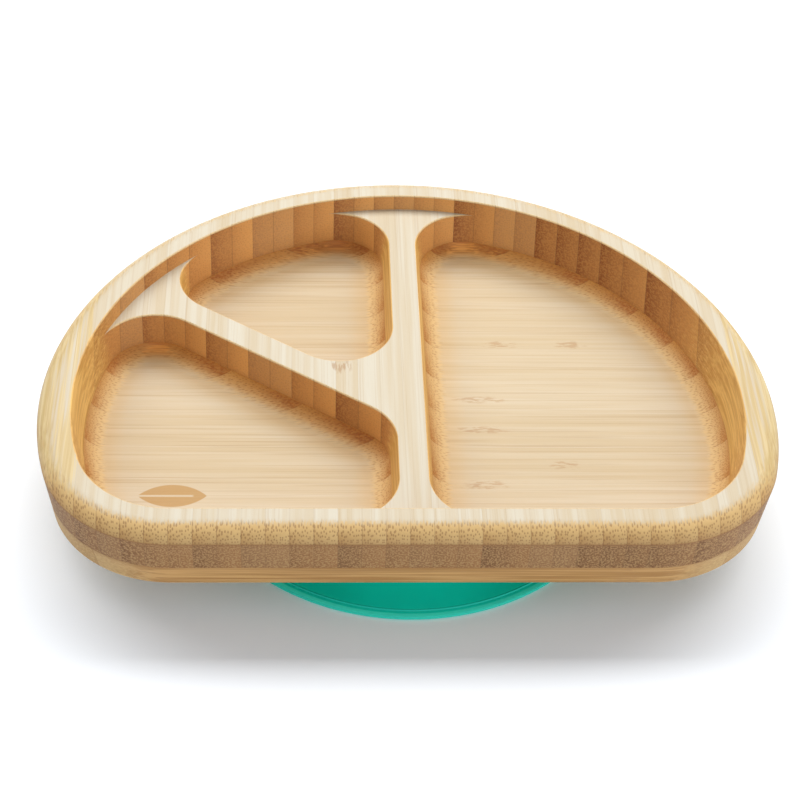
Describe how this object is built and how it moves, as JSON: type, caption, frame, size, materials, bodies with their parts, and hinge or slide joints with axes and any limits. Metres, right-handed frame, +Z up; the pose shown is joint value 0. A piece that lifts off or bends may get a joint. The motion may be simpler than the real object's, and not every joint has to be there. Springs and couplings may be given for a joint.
{
  "type": "divided suction plate",
  "caption": "D-shaped bamboo feeding plate with a raised rim and shallow compartments, on a round silicone suction base that pulls off.",
  "frame": {"origin": "middle of the plate's plan, on the table surface that the suction lip stands on", "axes": "+X along the plate's straight front edge, to the right of someone sitting at that edge; +Y from that edge to the curved back; +Z up"},
  "size_m": [0.2498, 0.1906, 0.0405],
  "materials": {
    "bamboo_top": "fine-sanded, oiled bamboo, grain front to back",
    "bamboo_base": "fine-sanded, oiled bamboo, grain side to side",
    "silicone": "smooth satin silicone, thin edges translucent"
  },
  "bodies": {
    "foot": {"suction_base": "silicone"},
    "plate": {"top_board": "bamboo_top", "base_board": "bamboo_base"}
  },
  "joints": [
    {"name": "plate_lift_off", "type": "slide", "parent": "foot", "child": "plate", "axis": [0, 0, 1], "range_m": [0, 0.03]}
  ]
}
